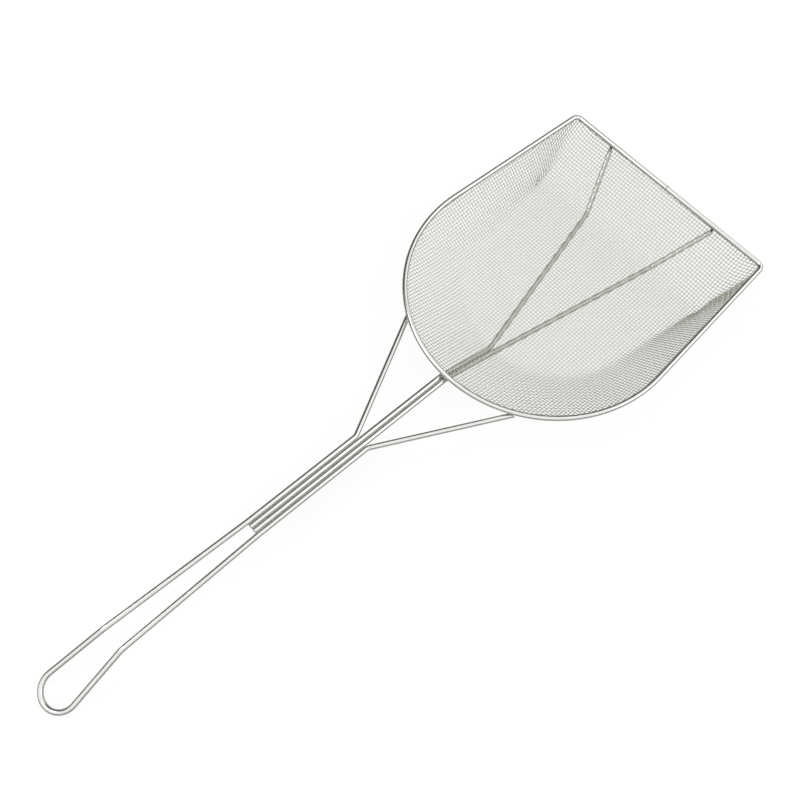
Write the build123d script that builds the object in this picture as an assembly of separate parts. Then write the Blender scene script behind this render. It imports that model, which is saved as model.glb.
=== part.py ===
from build123d import *
from math import acos, atan, atan2, ceil, cos, degrees, hypot, pi, sin, tan
import os

# A long-handled scoop skimmer of welded steel wire. It is laid out with the floor of the basket level,
# x = 0 at the back of the rim and +X towards the straight front edge, and is turned at the end
# to the way it lies on a table: on the bend of the support wires and on the end of the hanging loop.

# Heavy wire, the same for the rim, the handle and the supports
wire_diameter = 4.76
wire_radius = wire_diameter / 2
side_gap = 0.1  # between neighbouring wires of the handle

# Wire cloth of the basket
cloth_pitch = 3.175
cloth_wire_diameter = 0.75
cloth_thickness = 2 * cloth_wire_diameter
seat_gap = 0.3  # between the cloth and the wire above or below it

# The cloth is made as a sheet with a coarse grid of openings, as open as the cloth
grid_pitch = 25.0
grid_border = 8.0  # left whole along the sheet's edge
grid_least_share = 0.1  # of a whole opening, for one that the border cuts off

# Rim, measured at the middle of its wire
rim_length = 302.5
rim_height = 35.7  # above the middle of the basket's floor
rim_front_half_width = 120.0
rim_back_radius = 131.2
rim_corner_radius = 6.4
butt_gap = 0.8  # between the ends of the rim wire, filled by their weld

# Floor of the basket, inside the folds to its walls
floor_back = 65.4  # from the back of the rim
floor_length = 180.6
floor_front_half_width = 103.4
floor_back_radius = 87.8
floor_corner_radius = 3.0

# Handle
handle_rise_angle = 4.6
inner_wire_length = 217.6  # behind the back of the rim
loop_start = 352.6
loop_start_half_width = 11.0
loop_drop_angle = 20.3  # the loop turns down by this much
loop_spread_angle = 5.44
loop_end_radius = 16.1
loop_bend_radius = 14.0
spread_bend_radius = 200.0

# Braces, the two ends of the handle wire
brace_start = 98.6  # behind the back of the rim
brace_bend_radius = 9.0
brace_end_angle = 30.7  # from the back of the rim, round the middle of its arc
brace_overrun = 2.0  # of the brace's end, past the middle of the rim wire

# Support wires under the basket
support_bend_radius = 12.0
support_fold_half_width = 42.3  # at the fold from the floor to the ramp
support_front_half_width = 65.7
support_front_shift = 5.7  # both wires lean this far to the left at the front
support_end_setback = 1.0  # from the middle of the rim wire

# Welds
weld_diameter = 3.0
bead_rise = 0.35  # of the butt weld, above the rim wire
weld_top_share = 0.5  # of the wire radius that a weld stays below the middle of the rim wire
handle_weld_length = 6.0
handle_weld_count = 4
handle_weld_diameter = 1.8
handle_weld_depth_share = 0.65  # of the wire radius, below the middle of the wires
handle_weld_margin = 14.0  # from the brace bend, and from the ends of the inner wires
spot_weld_diameter = 1.4
spot_weld_spacing = 8.0  # along the rim

# Worked out from the sizes above
wire_pitch = wire_diameter + side_gap
cloth_top = rim_height - wire_radius - seat_gap - cloth_thickness / 2
cloth_to_wire = cloth_thickness / 2 + seat_gap + wire_radius  # from the cloth's middle to a wire under it
handle_level_at_rim = rim_height - wire_diameter - cloth_thickness - 2 * seat_gap
floor_front = floor_back + floor_length
ramp_angle = atan(cloth_top / (rim_length - floor_front))
back_wall_angle = atan(cloth_top / floor_back)
rise = tan(handle_rise_angle * pi / 180)


def handle_level(x):
    return handle_level_at_rim - x * rise


def tangent_angle(front, half_width, centre, radius):
    """Direction from the back arc's centre to the point where the straight side meets the arc."""
    reach = front - centre
    return atan2(half_width, reach) + acos(radius / hypot(reach, half_width))


def half_outline(front, half_width, corner, back, radius, level, side, middle=0):
    """Edges from the front edge, round one corner and along one side, to the middle of the back."""
    centre = back + radius
    turn = tangent_angle(front, half_width, centre, radius)
    corner_x = front - corner
    corner_y = half_width + corner * (cos(turn) - 1) / sin(turn)

    def place(x, y):
        return Vector(x, side * y, level)

    def on_corner(angle):
        return place(corner_x + corner * cos(angle), corner_y + corner * sin(angle))

    def on_back(angle):
        return place(centre + radius * cos(angle), radius * sin(angle))

    half_turn = (turn + pi) / 2
    return [
        Line(place(front, middle), on_corner(0)),
        ThreePointArc(on_corner(0), on_corner(turn / 2), on_corner(turn)),
        Line(on_corner(turn), on_back(turn)),
        ThreePointArc(on_back(turn), on_back(half_turn), on_back(pi)),
    ]


def wire_on(path):
    """Heavy wire along a path."""
    return sweep(Plane(origin=path @ 0, z_dir=path % 0) * Circle(wire_radius), path=path)


def mouth_edges(level, side, middle=0):
    """Half of the basket's mouth: the middle of the rim wire, and the edge of the cloth under it."""
    return half_outline(
        rim_length, rim_front_half_width, rim_corner_radius, 0, rim_back_radius, level, side, middle
    )


def floor_edges(side):
    return half_outline(
        floor_front, floor_front_half_width, floor_corner_radius, floor_back, floor_back_radius, 0, side
    )


def make_rim_wire():
    halves = [mouth_edges(rim_height, side, butt_gap / 2) for side in (1, -1)]
    return wire_on(Wire(halves[0] + halves[1]))


def make_rim_butt_weld():
    bead = Cylinder(wire_radius + bead_rise, butt_gap)
    bead = fillet(bead.edges(), bead_rise)
    return Pos(rim_length, 0, rim_height) * Rot(X=90) * bead


floor_face = Face(Wire(floor_edges(1) + floor_edges(-1)))
mouth_face = Face(Wire(mouth_edges(cloth_top, 1) + mouth_edges(cloth_top, -1)))


def make_grid_openings():
    """Faces of the coarse grid in plan, from the middle of the front edge to the border all round."""
    opening = grid_pitch * (1 - cloth_wire_diameter / cloth_pitch)
    inside = offset(mouth_face, -grid_border, kind=Kind.INTERSECTION)
    columns = ceil(rim_length / grid_pitch)
    rows = ceil(rim_back_radius / grid_pitch)
    openings = []
    for column in range(columns):
        for row in range(-rows, rows):
            x = rim_length - grid_border - opening / 2 - column * grid_pitch
            place = Pos(x, (row + 1 / 2) * grid_pitch, cloth_top)
            for face in (inside & place * Rectangle(opening, opening)).faces():
                if face.area > grid_least_share * opening**2:
                    openings.append(face)
    return openings


grid_openings = make_grid_openings()
solid_share = 1 - sum(face.area for face in grid_openings) / mouth_face.area
sheet_thickness = pi * cloth_wire_diameter**2 / (2 * cloth_pitch) / solid_share  # as heavy as the cloth


def make_basket_sheet():
    """The cloth as a thin sheet: what the basket holds, less the same form raised by its thickness."""
    block = Pos(0, 0, -sheet_thickness / 2) * loft([floor_face, mouth_face], ruled=True)
    sheet = block - Pos(0, 0, sheet_thickness) * block
    depth = cloth_top + cloth_thickness
    return sheet - [extrude(face, depth, dir=(0, 0, -1)) for face in grid_openings]


def brace_end(side):
    angle = brace_end_angle * pi / 180
    x = rim_back_radius * (1 - cos(angle))
    return Vector(x, side * rim_back_radius * sin(angle), handle_level_at_rim)


def loop_place(along, y):
    """A point of the hanging loop's plane, counted from where the loop turns down."""
    dip = (loop_drop_angle - handle_rise_angle) * pi / 180
    return Vector(-loop_start - along * cos(dip), y, handle_level(-loop_start) - along * sin(dip))


spread = loop_spread_angle * pi / 180
loop_centre = (loop_end_radius - loop_start_half_width * cos(spread)) / sin(spread)
loop_end = loop_place(loop_centre + loop_end_radius, 0)


def loop_tangent(side):
    along = loop_centre - loop_end_radius * sin(spread)
    return loop_place(along, side * loop_end_radius * cos(spread))


def handle_half(side):
    """Edges from the round end of the loop, along one outer wire of the handle and its brace."""
    lane = side * 1.5 * wire_pitch
    bend = Vector(-brace_start, lane, handle_level(-brace_start))
    end = brace_end(side)
    tip = end + (end - bend).normalized() * brace_overrun
    spread_start = Vector(-inner_wire_length, lane, handle_level(-inner_wire_length))
    turn_down = loop_place(0, side * loop_start_half_width)
    path = FilletPolyline(
        tip, bend, spread_start, turn_down, loop_tangent(side),
        radius=[brace_bend_radius, spread_bend_radius, loop_bend_radius],
    )
    return path.edges().sort_by(Axis.X)


# The handle wire is one wire from brace to brace. It is made in three lengths that meet face to face,
# cut where the bend down to the loop starts, so that each length goes round only one open space.
loop_edge_count = 2  # the straight side of the loop, and the bend down to it


def make_hanging_loop():
    loop_arc = ThreePointArc(loop_tangent(1), loop_end, loop_tangent(-1))
    sides = handle_half(1)[:loop_edge_count] + handle_half(-1)[:loop_edge_count]
    return wire_on(Wire(sides + [loop_arc]))


def make_outer_wire(side):
    return wire_on(Wire(handle_half(side)[loop_edge_count:]))


def support_points(side):
    """Corners of a support wire, from its end in the handle to its end under the front edge."""
    lane = side * wire_pitch / 2
    under_wall = cloth_top - cloth_to_wire / cos(back_wall_angle)
    bend_x = (under_wall - handle_level_at_rim) / (tan(back_wall_angle) - rise)
    floor_x = (under_wall + cloth_to_wire) / tan(back_wall_angle)
    fold_x = floor_front + cloth_to_wire * tan(ramp_angle / 2)
    front_x = rim_length - support_end_setback
    front_level = cloth_top - cloth_to_wire / cos(ramp_angle) - support_end_setback * tan(ramp_angle)
    fold_y = side * support_fold_half_width + support_front_shift / 2
    front_y = side * support_front_half_width + support_front_shift
    return [
        Vector(-inner_wire_length, lane, handle_level(-inner_wire_length)),
        Vector(bend_x, lane, handle_level(bend_x)),
        Vector(floor_x, lane, -cloth_to_wire),
        Vector(fold_x, fold_y, -cloth_to_wire),
        Vector(front_x, front_y, front_level),
    ]


def make_support_wire(side):
    return wire_on(FilletPolyline(*support_points(side), radius=[support_bend_radius] * 3))


def upright_weld(place):
    """Weld metal between the rim wire and a wire that passes under it."""
    top = rim_height - wire_radius * weld_top_share
    height = top - place.Z
    return Pos(place.X, place.Y, place.Z + height / 2) * Cylinder(weld_diameter / 2, height)


def group(shapes):
    """Separate solids that share one node."""
    return Compound([solid for shape in shapes for solid in shape.solids()])


def make_upright_welds(places, rim, lower_wires):
    return group([upright_weld(place) - rim - lower_wires for place in places])


def make_handle_welds(wires):
    """Short runs of weld in the grooves under the handle, between neighbouring wires."""
    first = brace_start + handle_weld_margin
    last = inner_wire_length - handle_weld_margin
    step = (last - first) / (handle_weld_count - 1)
    welds = []
    for row in range(handle_weld_count):
        x = -first - row * step
        for groove in (-1, 0, 1):
            place = Vector(x, groove * wire_pitch, handle_level(x) - wire_radius * handle_weld_depth_share)
            run = Cylinder(handle_weld_diameter / 2, handle_weld_length, rotation=(0, 90, 0))
            run = Pos(place) * Rot(Y=handle_rise_angle) * run
            for wire in wires:
                run -= wire
            welds.append(run)
    return group(welds)


def make_spot_welds(rim, taken):
    """Small spots that hold the cloth's edge to the underside of the rim, clear of the larger welds."""
    edge = Wire(mouth_edges(cloth_top, 1) + mouth_edges(cloth_top, -1))
    count = round(edge.length / spot_weld_spacing)
    foot = cloth_top + sheet_thickness / 2
    height = rim_height - wire_radius * weld_top_share - foot
    spots = []
    for number in range(count):
        share = (number + 1 / 2) / count
        along = edge % share
        inward = Vector(along.Y, -along.X, 0)
        place = edge @ share
        if (Vector(rim_back_radius, 0, cloth_top) - place).dot(inward) < 0:
            inward = -inward
        place += inward * (spot_weld_diameter / 2)
        if min((place - other).length for other in taken) < cloth_to_wire + weld_diameter:
            continue
        spot = Cylinder(spot_weld_diameter / 2, height)
        spots.append(Pos(place.X, place.Y, foot + height / 2) * spot - rim)
    return group(spots)


rim_wire = make_rim_wire()
hanging_loop = make_hanging_loop()
left_outer_wire = make_outer_wire(1)
right_outer_wire = make_outer_wire(-1)
left_support_wire = make_support_wire(1)
right_support_wire = make_support_wire(-1)
supports = [left_support_wire, right_support_wire]
outer_wires = [left_outer_wire, right_outer_wire]
rear_places = [support_points(side)[1] for side in (1, -1)]
front_places = [support_points(side)[4] for side in (1, -1)]
brace_places = [brace_end(side) for side in (1, -1)]
rear_rim_welds = make_upright_welds(rear_places, rim_wire, supports)
front_rim_welds = make_upright_welds(front_places, rim_wire, supports)
brace_welds = make_upright_welds(brace_places, rim_wire, outer_wires)
handle_welds = make_handle_welds(supports + outer_wires)
basket_cloth = make_basket_sheet() - rear_rim_welds - front_rim_welds - brace_welds
spot_welds = make_spot_welds(rim_wire, rear_places + front_places + brace_places)

nodes = {
    "rim_wire": rim_wire,
    "rim_butt_weld": make_rim_butt_weld(),
    "left_outer_wire": left_outer_wire,
    "right_outer_wire": right_outer_wire,
    "hanging_loop": hanging_loop,
    "left_support_wire": left_support_wire,
    "right_support_wire": right_support_wire,
    "basket_cloth": basket_cloth,
    "brace_welds": brace_welds,
    "rear_rim_welds": rear_rim_welds,
    "front_rim_welds": front_rim_welds,
    "handle_welds": handle_welds,
    "spot_welds": spot_welds,
}

# Turned to the way it lies on a table, with the middle of its box over the origin
floor_bend = support_points(1)[2]
rest_angle = degrees(atan2(loop_end.Z - floor_bend.Z, floor_bend.X - loop_end.X))
turned = {name: Rot(Y=-rest_angle) * shape for name, shape in nodes.items()}
box = Compound(list(turned.values())).bounding_box()
middle = box.center()

os.makedirs("parts", exist_ok=True)
for name, shape in turned.items():
    placed = Pos(-middle.X, -middle.Y, -box.min.Z) * shape
    export_step(placed, f"parts/{name}.step")
    print(name, round(placed.volume, 2))
print("grid openings", len(grid_openings), "solid share", round(solid_share, 4), "sheet", round(sheet_thickness, 4))
print("rest angle", round(rest_angle, 3), "box", box.size)
print("shift", round(-middle.X, 3), round(-middle.Y, 3), round(-box.min.Z, 3))
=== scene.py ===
# %% [markdown]
# # A long-handled scoop skimmer
# The real object is made of wire and nothing else. A heavy rim wire is bent to the mouth of a shallow
# basket, the basket is woven wire cloth pressed to shape, and four wires side by side make the handle.
# The measured model gives every heavy wire and weld. This script dresses it: it weaves the cloth, gives
# each metal its finish, and sets up the table, the room's light, the lamps and the camera.

# %% Load the measured model
import math

import bpy
import numpy as np
from mathutils import Matrix, Vector


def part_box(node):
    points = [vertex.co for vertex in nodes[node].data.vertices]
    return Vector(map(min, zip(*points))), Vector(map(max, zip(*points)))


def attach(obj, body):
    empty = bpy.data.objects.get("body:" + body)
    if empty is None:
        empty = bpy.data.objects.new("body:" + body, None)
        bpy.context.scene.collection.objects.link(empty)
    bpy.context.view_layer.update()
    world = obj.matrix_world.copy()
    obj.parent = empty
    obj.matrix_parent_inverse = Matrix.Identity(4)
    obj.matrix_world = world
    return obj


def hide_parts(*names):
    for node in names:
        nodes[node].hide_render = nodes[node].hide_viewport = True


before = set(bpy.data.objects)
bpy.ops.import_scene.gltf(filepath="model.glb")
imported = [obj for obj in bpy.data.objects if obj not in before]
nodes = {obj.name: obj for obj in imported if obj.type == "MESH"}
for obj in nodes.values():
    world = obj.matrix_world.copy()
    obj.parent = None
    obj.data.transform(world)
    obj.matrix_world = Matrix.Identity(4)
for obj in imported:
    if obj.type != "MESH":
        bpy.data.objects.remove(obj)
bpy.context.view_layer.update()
bpy.ops.object.select_all(action="DESELECT")
print("nodes:", sorted(nodes))

# %% [markdown]
# ## Where the skimmer stands
# The skimmer lies a little nose up, because it rests on the bends of its support wires and on the end of
# its loop. The basket is far easier to describe level, with x = 0 at the back of the rim and z = 0 in
# the floor of the cloth. So the cloth is worked out level and then tipped, and the tip is read from the
# rim wire's own box: its height is the wire's thickness plus the rim's length times the sine of the tip.

# %% Read the tip of the rim from the model
mm = 0.001
wire_diameter = 4.76 * mm
rim_length = 302.5 * mm
rim_height = 35.7 * mm

rim_low, rim_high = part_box("rim_wire")
rim_rise = rim_high.z - rim_low.z - wire_diameter
tip = math.asin(rim_rise / rim_length)
rim_middle_x = (rim_low.x + rim_high.x) / 2
shift_x = rim_middle_x - rim_length / 2 * math.cos(tip) + rim_height * math.sin(tip)
shift_z = rim_low.z + wire_diameter / 2 - rim_height * math.cos(tip)
print("tip in degrees:", round(math.degrees(tip), 3))
print("shift in mm:", round(shift_x / mm, 2), round(shift_z / mm, 3))


def tipped(x, y, z):
    """Points of the level basket, in the model's own frame."""
    turned_x = x * math.cos(tip) - z * math.sin(tip) + shift_x
    turned_z = x * math.sin(tip) + z * math.cos(tip) + shift_z
    return np.stack([turned_x, y + 0 * turned_x, turned_z], axis=-1)


# %% [markdown]
# ## The shape of the basket
# The floor is flat and horseshoe-shaped. Between its edge and the mouth the walls and the front ramp rise
# in straight lines, so every level line of the basket is an outline part of the way from the floor's
# edge to the mouth. The height of the cloth at a point is then the share of the way at which the outline
# passes through it. Real pressed cloth has no sharp folds, so the shares are joined by a soft maximum.

# %% The height of the cloth at any point
cloth_top = 32.27 * mm
floor_front = 246.0 * mm
floor_half_width = 103.4 * mm
floor_centre = 153.2 * mm
floor_radius = 87.8 * mm
mouth_half_width = 120.0 * mm
mouth_radius = 131.2 * mm
mouth_corner = 6.4 * mm
fold_softness = 0.05
share_low = -1.3
share_high = 1.7
halvings = 26

floor_edge = (floor_front, floor_half_width, floor_centre, floor_radius)
mouth_edge = (rim_length, mouth_half_width, mouth_radius, mouth_radius)


def outside(x, y, share):
    """How far a point lies outside the round back and straight side of one level outline."""
    sizes = [low + (high - low) * share for low, high in zip(floor_edge, mouth_edge)]
    front, half_width, centre, radius = sizes
    reach = np.hypot(front - centre, half_width)
    side_turn = np.arctan2(half_width, front - centre) + np.arccos(np.clip(radius / reach, -1, 1))
    on_back = np.arctan2(y, x - centre) > side_turn
    from_back = np.hypot(x - centre, y) - radius
    from_side = (x - centre) * np.cos(side_turn) + y * np.sin(side_turn) - radius
    return np.where(on_back, from_back, from_side)


def past_mouth(x, y):
    """How far a point lies outside the middle line of the rim wire, with its two small corners."""
    past_front = x - rim_length + mouth_corner
    past_side = outside(x, np.abs(y), 1.0) + mouth_corner
    in_corner = np.hypot(np.maximum(past_front, 0), np.maximum(past_side, 0))
    return in_corner + np.minimum(np.maximum(past_front, past_side), 0) - mouth_corner


def wall_share(x, y):
    """The share at which an outline's back or side passes through the point, found by halving."""
    low = np.full(np.shape(x), share_low)
    high = np.full(np.shape(x), share_high)
    for _ in range(halvings):
        middle = (low + high) / 2
        too_far = outside(x, np.abs(y), middle) > 0
        low = np.where(too_far, middle, low)
        high = np.where(too_far, high, middle)
    return (low + high) / 2


def soft_larger(first, second, softness=fold_softness):
    """The larger of two numbers, rounded where they are nearly equal."""
    return (first + second + np.sqrt((first - second) ** 2 + softness**2)) / 2


def cloth_height(x, y):
    """The height of the middle of the cloth above the floor, on the level basket."""
    ramp_share = (x - floor_front) / (rim_length - floor_front)
    share = soft_larger(soft_larger(ramp_share, wall_share(x, y)), 0)
    return cloth_top * share


print("cloth height in mm on the floor:", round(float(cloth_height(floor_centre, 0.0)) / mm, 3))
print("cloth height in mm at the mouth's back:", round(float(cloth_height(0.0, 0.0)) / mm, 3))

# %% [markdown]
# ## Where the cloth's wires run
# Wire cloth does not stretch when it is pressed: its little squares turn to diamonds, and each wire
# keeps its distance from the next, measured along the cloth. A flat grid dropped on the basket from above
# would have wide squares on the walls. So the distance along the cloth is summed over a fine grid, once
# along each family of wires, and a crossing is the place where both sums are whole numbers of pitches.
# Neighbouring wires pull on each other, so the stretch at a fold is first shared out over a few pitches.

# %% Measure distances along the cloth
cloth_pitch = 3.175 * mm
weave_turn = math.radians(1.38)
grid_step = 1.0 * mm
grid_low_x = -40 * mm
grid_high_x = 350 * mm
grid_half_y = 170 * mm
middle_x = 150 * mm
share_width = 9 * mm
share_reach = 27 * mm
corrections = 14
inside_end = 1.001  # how many steps before the grid's end a reading stops


def weave_turned(x, y):
    """From the weave's own directions to the basket's."""
    return (
        x * math.cos(weave_turn) - y * math.sin(weave_turn),
        x * math.sin(weave_turn) + y * math.cos(weave_turn),
    )


grid_x = np.arange(grid_low_x, grid_high_x, grid_step)
grid_y = np.arange(-grid_half_y, grid_half_y, grid_step)
spread_x, spread_y = np.meshgrid(grid_x, grid_y, indexing="ij")
grid_height = cloth_height(*weave_turned(spread_x, spread_y))
slope_x, slope_y = np.gradient(grid_height, grid_step)


def shared_out(field, axis):
    """A field with each value shared with its neighbours, in a bell-shaped way."""
    offsets = np.arange(-share_reach, share_reach + grid_step, grid_step)
    weights = np.exp(-((offsets / share_width) ** 2) / 2)
    return np.apply_along_axis(np.convolve, axis, field, weights / weights.sum(), "same")


def distance(slope, axis, start):
    """The sum along one direction of the lengths of the cloth's little steps, from the start line."""
    stretch = shared_out(np.sqrt(1 + slope**2), 1 - axis)
    total = np.cumsum(stretch, axis=axis) * grid_step
    return stretch, total - np.take(total, [start], axis=axis)


stretch_x, distance_x = distance(slope_x, 0, int(round((middle_x - grid_low_x) / grid_step)))
stretch_y, distance_y = distance(slope_y, 1, int(round(grid_half_y / grid_step)))


def read(field, x, y):
    """A field of the grid between its points."""
    place_x = np.clip((x - grid_low_x) / grid_step, 0, len(grid_x) - inside_end)
    place_y = np.clip((y + grid_half_y) / grid_step, 0, len(grid_y) - inside_end)
    column, row = place_x.astype(int), place_y.astype(int)
    right, up = place_x - column, place_y - row
    near = field[column, row] * (1 - up) + field[column, row + 1] * up
    far = field[column + 1, row] * (1 - up) + field[column + 1, row + 1] * up
    return near * (1 - right) + far * right


def on_cloth(pitches_x, pitches_y):
    """The place where the two distances are these numbers of pitches, found by steps towards it."""
    x = middle_x + pitches_x * cloth_pitch
    y = pitches_y * cloth_pitch
    for _ in range(corrections):
        x = x + (pitches_x * cloth_pitch - read(distance_x, x, y)) / read(stretch_x, x, y)
        y = y + (pitches_y * cloth_pitch - read(distance_y, x, y)) / read(stretch_y, x, y)
    return x, y


print("grid points:", grid_height.size, "greatest stretch:", round(float(stretch_x.max()), 3))

# %% [markdown]
# ## Weaving
# In plain weave each wire passes over one neighbour and under the next. So each wire follows the cloth
# half a wire's thickness above and below it, as a cosine of the distance, and the other family takes the
# opposite turn. Poly curves with a round bevel give each wire its thickness, because a curve has the
# shape of a wire already. Converted to a mesh they are closed tubes. Each wire ends under the rim.

# %% Weave the basket's two families of wires
cloth_wire_radius = 0.375 * mm
steps_per_pitch = 3
most_pitches = 75
least_points = 3


def longest_run(inside):
    """The first and the last place of the longest unbroken run of true values."""
    edges = np.flatnonzero(np.diff(np.concatenate([[False], inside, [False]]).astype(int)))
    if len(edges) == 0:
        return 0, 0
    runs = edges.reshape(-1, 2)
    best = runs[np.argmax(runs[:, 1] - runs[:, 0])]
    return best[0], best[1] - 1


def wire_points(number, lengthwise):
    """One woven wire's points, level, cut at the mouth. Empty where the wire misses the basket."""
    along = np.arange(-most_pitches, most_pitches, 1 / steps_per_pitch)
    across = np.full_like(along, float(number))
    x, y = on_cloth(along, across) if lengthwise else on_cloth(across, along)
    level = read(grid_height, x, y)
    past = past_mouth(*weave_turned(x, y))
    first, last = longest_run(past < 0)
    if last - first + 1 < least_points:
        return np.zeros((0, 3))
    sides = read(slope_x, x, y), read(slope_y, x, y)
    size = np.sqrt(1 + sides[0] ** 2 + sides[1] ** 2)
    turn = 1 if lengthwise else -1
    lift = turn * cloth_wire_radius * np.cos(math.pi * (along + number)) / size
    keep = np.arange(first, last + 1).astype(float)
    keep[0] += past[first] / (past[first - 1] - past[first])
    keep[-1] -= past[last] / (past[last + 1] - past[last])
    count = np.arange(len(along))
    rows = [np.interp(keep, count, row) for row in (x, y, level, lift, *sides)]
    x, y, level, lift, side_x, side_y = rows
    basket_x, basket_y = weave_turned(x - lift * side_x, y - lift * side_y)
    return np.stack([basket_x, basket_y, level + lift], axis=-1)


def woven_piece(name, lengthwise, numbers):
    """One mesh of closed tubes from the wires with these numbers."""
    curve = bpy.data.curves.new(name, "CURVE")
    curve.dimensions = "3D"
    curve.bevel_depth = cloth_wire_radius
    curve.bevel_resolution = 1
    curve.use_fill_caps = True
    for number in numbers:
        points = wire_points(number, lengthwise)
        if len(points) < least_points:
            continue
        places = tipped(points[:, 0], points[:, 1], points[:, 2])
        spline = curve.splines.new("POLY")
        spline.points.add(len(places) - 1)
        spline.points.foreach_set("co", np.c_[places, np.ones(len(places))].ravel())
        spline.use_smooth = True
    piece = bpy.data.objects.new(name, curve)
    bpy.context.scene.collection.objects.link(piece)
    bpy.ops.object.select_all(action="DESELECT")
    piece.select_set(True)
    bpy.context.view_layer.objects.active = piece
    bpy.ops.object.convert(target="MESH")
    piece = bpy.context.view_layer.objects.active
    triangles = sum(len(face.vertices) - 2 for face in piece.data.polygons)
    print(name, "wires:", len(numbers), "triangles:", triangles)
    return piece


basket_wires = [
    woven_piece("basket_wires_left", True, range(0, most_pitches)),
    woven_piece("basket_wires_right", True, range(-most_pitches, 0)),
    woven_piece("basket_cross_wires_back", False, range(-most_pitches, 0)),
    woven_piece("basket_cross_wires_front", False, range(0, most_pitches)),
]

# %% [markdown]
# ## A way to write shader maths
# A finish is a small sum: a base value, plus a little of this noise, minus a little of that. Adding Math
# nodes by hand hides the sum, so a small class wraps an output socket and lets Python's own signs add
# the nodes.

# %% Shader maths
class Reading:
    """One output of a node. Its signs add Math nodes to the same tree."""

    def __init__(self, tree, socket):
        self.tree = tree
        self.socket = socket

    def maths(self, operation, first, second):
        node = self.tree.nodes.new("ShaderNodeMath")
        node.operation = operation
        for place, value in zip(node.inputs, (first, second)):
            plug(self.tree, place, value)
        return Reading(self.tree, node.outputs[0])

    def __add__(self, other):
        return self.maths("ADD", self, other)

    def __radd__(self, other):
        return self.maths("ADD", other, self)

    def __rsub__(self, other):
        return self.maths("SUBTRACT", other, self)

    def __mul__(self, other):
        return self.maths("MULTIPLY", self, other)

def plug(tree, place, value):
    """Joins a reading to an input, or writes a plain value on it."""
    if isinstance(value, Reading):
        tree.links.new(value.socket, place)
    else:
        place.default_value = value


# %% [markdown]
# ## One finish
# Every metal here is the same shader with other values. So a second class holds one material. It reads
# the noise in the object's own coordinates, so the marks stay on the metal wherever the skimmer lies.

# %% One material
class Finish:
    """One material, with the shader that gives its look."""

    def __init__(self, name):
        self.material = bpy.data.materials.new(name)
        self.material.use_nodes = True
        self.tree = self.material.node_tree
        self.shader = self.tree.nodes["Principled BSDF"]
        self.places = self.node("ShaderNodeTexCoord", output="Object")

    def node(self, kind, settings=(), values=(), output=0):
        """Any node of the material, from its type, its settings and the values of its inputs."""
        node = self.tree.nodes.new(kind)
        for name, value in dict(settings).items():
            setattr(node, name, value)
        for name, value in dict(values).items():
            plug(self.tree, node.inputs[name], value)
        return Reading(self.tree, node.outputs[output])

    def noise(self, scale, detail=2.0):
        values = {"Vector": self.places, "Scale": scale, "Detail": detail}
        return self.node("ShaderNodeTexNoise", (), values)

    def blend(self, share, first, second):
        """A colour that goes from the first to the second as the share goes from 0 to 1."""
        return self.node("ShaderNodeMix", {"data_type": "RGBA"}, {0: share, 6: first, 7: second}, output=2)

    def bump(self, height, strength, depth):
        values = {"Height": height, "Strength": strength, "Distance": depth}
        return self.node("ShaderNodeBump", (), values)

    def set(self, **values):
        """Fills inputs of the shader. Base_Color stands for Base Color."""
        for name, value in values.items():
            plug(self.tree, self.shader.inputs[name.replace("_", " ")], value)


# %% [markdown]
# ## Bright wire
# The heavy wires are bright plated steel, drawn smooth and polished. Up close such wire is never a perfect
# mirror: its polish comes and goes a little over a few millimetres, and the drawing leaves it very
# slightly wavy. So roughness and colour change with a broad noise, and a fine bump bends the reflections.

# %% Finish of the heavy wires
duller_steel = (0.74, 0.74, 0.71, 1)
brighter_steel = (0.84, 0.84, 0.81, 1)

bright_wire = Finish("bright_wire")
polish = bright_wire.noise(scale=160.0)
grain = bright_wire.noise(scale=1400.0, detail=3.0)
bright_wire.set(
    Base_Color=bright_wire.blend(polish, duller_steel, brighter_steel),
    Metallic=1.0,
    Roughness=0.10 + polish * 0.12 + grain * 0.05,
    Normal=bright_wire.bump(polish * 0.7 + grain * 0.3, strength=0.25, depth=0.2 * mm),
)
print("shader nodes of the bright wire:", len(bright_wire.tree.nodes))

# %% [markdown]
# ## Woven wire
# The cloth's wires are the same metal but thinner and duller, because cleaning wears their polish. They
# are rough enough to blur what they reflect, and their fine bump is very shallow.

# %% Finish of the woven wires
worn_cloth = (0.66, 0.66, 0.59, 1)
clean_cloth = (0.72, 0.72, 0.65, 1)

woven_wire = Finish("woven_wire")
wear = woven_wire.noise(scale=90.0)
speckle = woven_wire.noise(scale=900.0)
woven_wire.set(
    Base_Color=woven_wire.blend(wear, worn_cloth, clean_cloth),
    Metallic=1.0,
    Roughness=0.32 + wear * 0.04 + speckle * 0.06,
    Normal=woven_wire.bump(speckle, strength=0.1, depth=0.1 * mm),
)
print("shader nodes of the woven wire:", len(woven_wire.tree.nodes))

# %% [markdown]
# ## Weld metal
# A weld is metal that melted and set. The heat leaves it darker and duller than drawn wire, more in some
# places than in others, and its surface has fine ripples. A coarse bump gives the ripples.

# %% Finish of the welds
burnt_weld = (0.16, 0.155, 0.15, 1)
grey_weld = (0.42, 0.41, 0.40, 1)

weld_metal = Finish("weld_metal")
ripple = weld_metal.noise(scale=1100.0, detail=3.0)
stain = weld_metal.noise(scale=350.0)
weld_metal.set(
    Base_Color=weld_metal.blend(stain, burnt_weld, grey_weld),
    Metallic=1.0,
    Roughness=0.30 + stain * 0.20,
    Normal=weld_metal.bump(ripple, strength=0.6, depth=0.4 * mm),
)
print("shader nodes of the weld metal:", len(weld_metal.tree.nodes))

# %% [markdown]
# ## Dressing the model
# The measured pieces keep their shape and only get a material. The cloth is the exception: there it is a
# thin sheet with a coarse grid of openings, so the four meshes of woven wire take its place.

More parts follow.
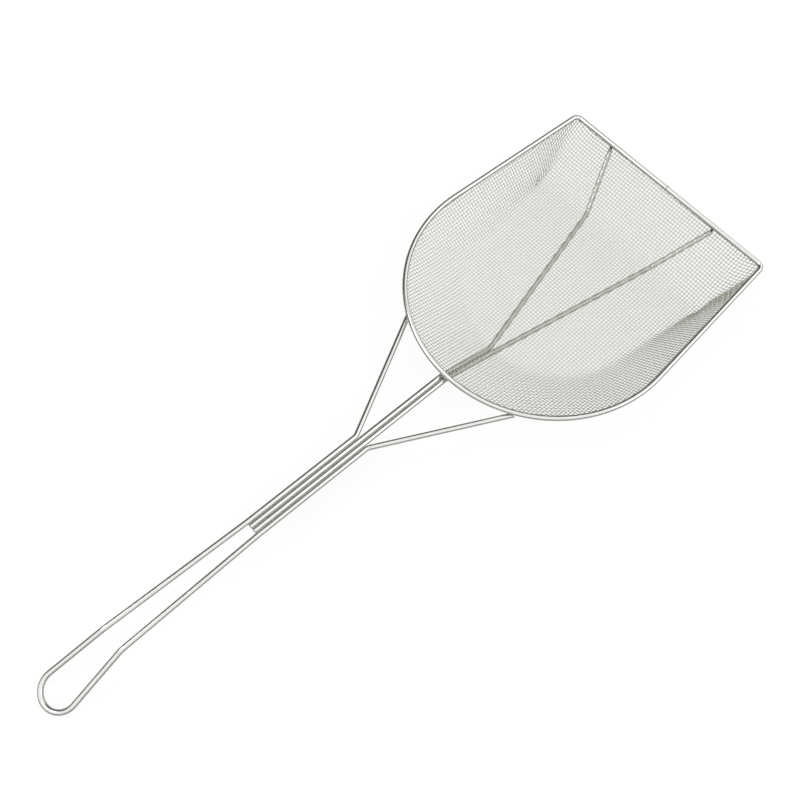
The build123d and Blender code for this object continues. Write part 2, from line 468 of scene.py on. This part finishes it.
# %% Put the finishes on
weld_nodes = [name for name in nodes if name.endswith(("_weld", "_welds"))]
for name, node in nodes.items():
    finish = weld_metal if name in weld_nodes else bright_wire
    if not node.material_slots:
        node.data.materials.append(finish.material)
    for place in node.material_slots:
        place.material = finish.material
for piece in basket_wires:
    piece.data.materials.clear()
    piece.data.materials.append(woven_wire.material)
    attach(piece, "root")
    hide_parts("basket_cloth")
print("weld nodes:", weld_nodes)

# %% [markdown]
# ## The table
# The photograph is a bright product picture on white, with hardly a shadow. A plain white table would do,
# but under light that suits the metal it would look grey. So the table is pale, and for the camera it
# also glows, which makes it white and leaves the skimmer's shadow there but faint. For the metal it
# glows very little, because a white table would wash out the thin dark lines along the wires.

# %% The table
table_size = 12.0
table_paleness = 0.40
table_glow = 1.21
table_glow_share = 0.75
table_mirrored_share = 0.05
table_gap = 0.2 * mm

bpy.ops.mesh.primitive_plane_add(size=table_size, location=(0, 0, -table_gap))
table = bpy.context.object
table.name = "table"

table_finish = bpy.data.materials.new("table_white")
table_finish.use_nodes = True
tree = table_finish.node_tree
tree.nodes.clear()
output = tree.nodes.new("ShaderNodeOutputMaterial")
matt = tree.nodes.new("ShaderNodeBsdfDiffuse")
matt.inputs["Color"].default_value = (table_paleness, table_paleness, table_paleness, 1)
glow = tree.nodes.new("ShaderNodeEmission")
glow.inputs["Strength"].default_value = table_glow
path = tree.nodes.new("ShaderNodeLightPath")
seen = Reading(tree, path.outputs["Is Camera Ray"])
mirrored = Reading(tree, path.outputs["Is Glossy Ray"])
passed = Reading(tree, path.outputs["Is Transmission Ray"])
share = (seen + passed) * table_glow_share + mirrored * table_mirrored_share
mix = tree.nodes.new("ShaderNodeMixShader")
tree.links.new(share.socket, mix.inputs[0])
tree.links.new(matt.outputs[0], mix.inputs[1])
tree.links.new(glow.outputs[0], mix.inputs[2])
tree.links.new(mix.outputs[0], output.inputs["Surface"])
table.data.materials.append(table_finish)
print("table side in metres:", table_size)

# %% [markdown]
# ## The room's light
# Polished wire has hardly a colour of its own and shows its surroundings, so the room does most of the
# work. A picture of a studio could be used, but a few smooth steps in the world's shader say more plainly
# what each part is for. The bright ceiling makes the white line along each wire. The dark band at the
# height of the horizon makes the thin grey lines beside it. The far side of the room, left of the handle,
# is dark too: it draws the darkest line, along the left of each wire, and shades the basket's right wall.
# The camera itself sees a plain pale room behind the table.

# %% The room's light
dark_side = 0.06
bright_side = 1.3
belt = 0.02
belt_low = 0.10  # the height of a direction, from 0 at the horizon to 1 overhead
belt_high = 0.30
side_start = 0.19
side_full = 0.32
overhead = (0.0, 0.0, 1.0)
bright_towards = (-0.25, -0.97, 0.0)
pale_behind = 1.0

world = bpy.data.worlds.new("studio")
bpy.context.scene.world = world
world.use_nodes = True
tree = world.node_tree
tree.nodes.clear()
output = tree.nodes.new("ShaderNodeOutputWorld")
background = tree.nodes.new("ShaderNodeBackground")
tree.links.new(background.outputs[0], output.inputs["Surface"])
direction = tree.nodes.new("ShaderNodeTexCoord")


def towards(place):
    """How far a direction looks towards a place: 1 straight at it, 0.5 square to it and 0 away from it."""
    dot = tree.nodes.new("ShaderNodeVectorMath")
    dot.operation = "DOT_PRODUCT"
    tree.links.new(direction.outputs["Generated"], dot.inputs[0])
    dot.inputs[1].default_value = place
    return Reading(tree, dot.outputs["Value"]) * 0.5 + 0.5


def levels(reading, stops):
    """A smooth curve through pairs of a place and a level."""
    ramp = tree.nodes.new("ShaderNodeValToRGB")
    ramp.color_ramp.interpolation = "EASE"
    for stop, (place, level) in zip(ramp.color_ramp.elements, stops):
        stop.position = place
        stop.color = (level, level, level, 1)
    tree.links.new(reading.socket, ramp.inputs["Fac"])
    return Reading(tree, ramp.outputs["Color"])


over_belt = levels(towards(overhead), [(0.5 + belt_low / 2, 0), (0.5 + belt_high / 2, 1)])
sides = levels(towards(bright_towards), [(side_start, dark_side), (side_full, bright_side)])
light = over_belt * sides + belt
path = tree.nodes.new("ShaderNodeLightPath")
seen = Reading(tree, path.outputs["Is Camera Ray"])
strength = light + seen * (pale_behind - light)
tree.links.new(strength.socket, background.inputs["Strength"])
print("shader nodes of the room:", len(tree.nodes))


# %% [markdown]
# ## The lamps
# The room alone lights the skimmer evenly. Two weak lamps give its shadow on the table a direction. They
# are large squares, because a small lamp would make hard shadows and hard sparks on the wires.

# %% The lamps
def soft_lamp(name, place, size, power):
    """A square area lamp that looks at the middle of the skimmer."""
    lamp = bpy.data.lights.new(name, "AREA")
    lamp.size = size
    lamp.energy = power
    holder = bpy.data.objects.new(name, lamp)
    holder.location = place
    holder.rotation_euler = Vector(place).to_track_quat("Z", "Y").to_euler()
    bpy.context.scene.collection.objects.link(holder)
    print(name, "watts:", power)


soft_lamp("key_lamp", place=(-0.6, 1.0, 1.6), size=0.9, power=6.0)
soft_lamp("fill_lamp", place=(0.9, -1.2, 1.3), size=1.2, power=3.0)

# %% [markdown]
# ## The camera
# The photograph looks down at the skimmer from behind and above its handle. The camera's place, its
# direction and its lens come from matching the measured rim, floor and handle to the photograph.

# %% The camera
camera_place = Vector((-0.32175, -0.24414, 0.79934))
looks_along = Vector((0.381943, 0.287920, -0.878192))
up_hint = Vector((0.569522, 0.675036, 0.469011))
picture_width = 800
focal_pixels = 999.1
sensor = 36.0

back = -looks_along.normalized()
right = up_hint.cross(back).normalized()
up = back.cross(right)
camera_data = bpy.data.cameras.new("camera")
camera_data.sensor_width = sensor
camera_data.lens = sensor * focal_pixels / picture_width
camera_data.clip_start = 0.01
camera = bpy.data.objects.new("camera", camera_data)
camera.matrix_world = Matrix.Translation(camera_place) @ Matrix((right, up, back)).transposed().to_4x4()
bpy.context.scene.collection.objects.link(camera)
bpy.context.scene.camera = camera
bpy.context.scene.view_settings.view_transform = "Standard"
print("lens in mm:", round(camera_data.lens, 2))
